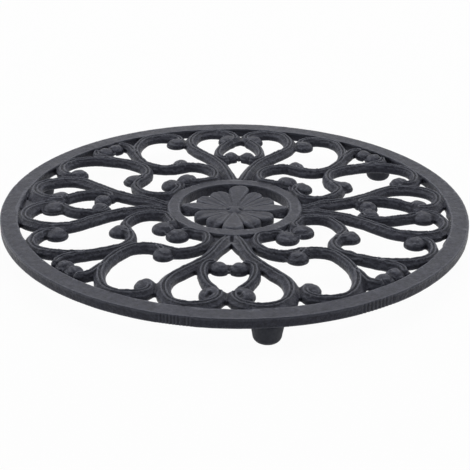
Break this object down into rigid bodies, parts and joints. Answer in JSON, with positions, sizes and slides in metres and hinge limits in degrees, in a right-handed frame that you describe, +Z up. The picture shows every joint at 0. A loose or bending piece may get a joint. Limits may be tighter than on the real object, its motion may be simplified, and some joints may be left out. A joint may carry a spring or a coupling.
{
  "type": "trivet",
  "caption": "Round openwork trivet: a flat rim and hub ring joined by heart and scroll bars, on short covered feet, to hold hot cookware off a table.",
  "frame": {"origin": "on the table, under the middle of the rim", "axes": "+Z up, hearts along the X and Y axes, -Y towards the viewer of the picture"},
  "size_m": [0.2, 0.2, 0.0141],
  "materials": {
    "iron": "satin black, fine sand-cast grain",
    "rubber": "matte black"
  },
  "bodies": {
    "root": {"outer_rim": "iron", "hub_ring": "iron", "rosette": "iron", "heart_bar_1": "iron", "heart_bar_2": "iron", "heart_bar_3": "iron", "heart_bar_4": "iron", "heart_bar_5": "iron", "heart_bar_6": "iron", "heart_bar_7": "iron", "heart_bar_8": "iron", "heart_curl_1": "iron", "heart_curl_2": "iron", "heart_curl_3": "iron", "heart_curl_4": "iron", "heart_curl_5": "iron", "heart_curl_6": "iron", "heart_curl_7": "iron", "heart_curl_8": "iron", "c_scroll_1": "iron", "c_scroll_2": "iron", "c_scroll_3": "iron", "c_scroll_4": "iron", "c_scroll_5": "iron", "c_scroll_6": "iron", "c_scroll_7": "iron", "c_scroll_8": "iron", "hub_curl_1": "iron", "hub_curl_2": "iron", "hub_curl_3": "iron", "hub_curl_4": "iron", "hub_curl_5": "iron", "hub_curl_6": "iron", "hub_curl_7": "iron", "hub_curl_8": "iron", "rim_curl_1": "iron", "rim_curl_2": "iron", "rim_curl_3": "iron", "rim_curl_4": "iron", "rim_curl_5": "iron", "rim_curl_6": "iron", "rim_curl_7": "iron", "rim_curl_8": "iron", "foot_peg_1": "iron", "foot_peg_2": "iron", "foot_peg_3": "iron", "foot_cover_1": "rubber", "foot_cover_2": "rubber", "foot_cover_3": "rubber"}
  },
  "joints": []
}
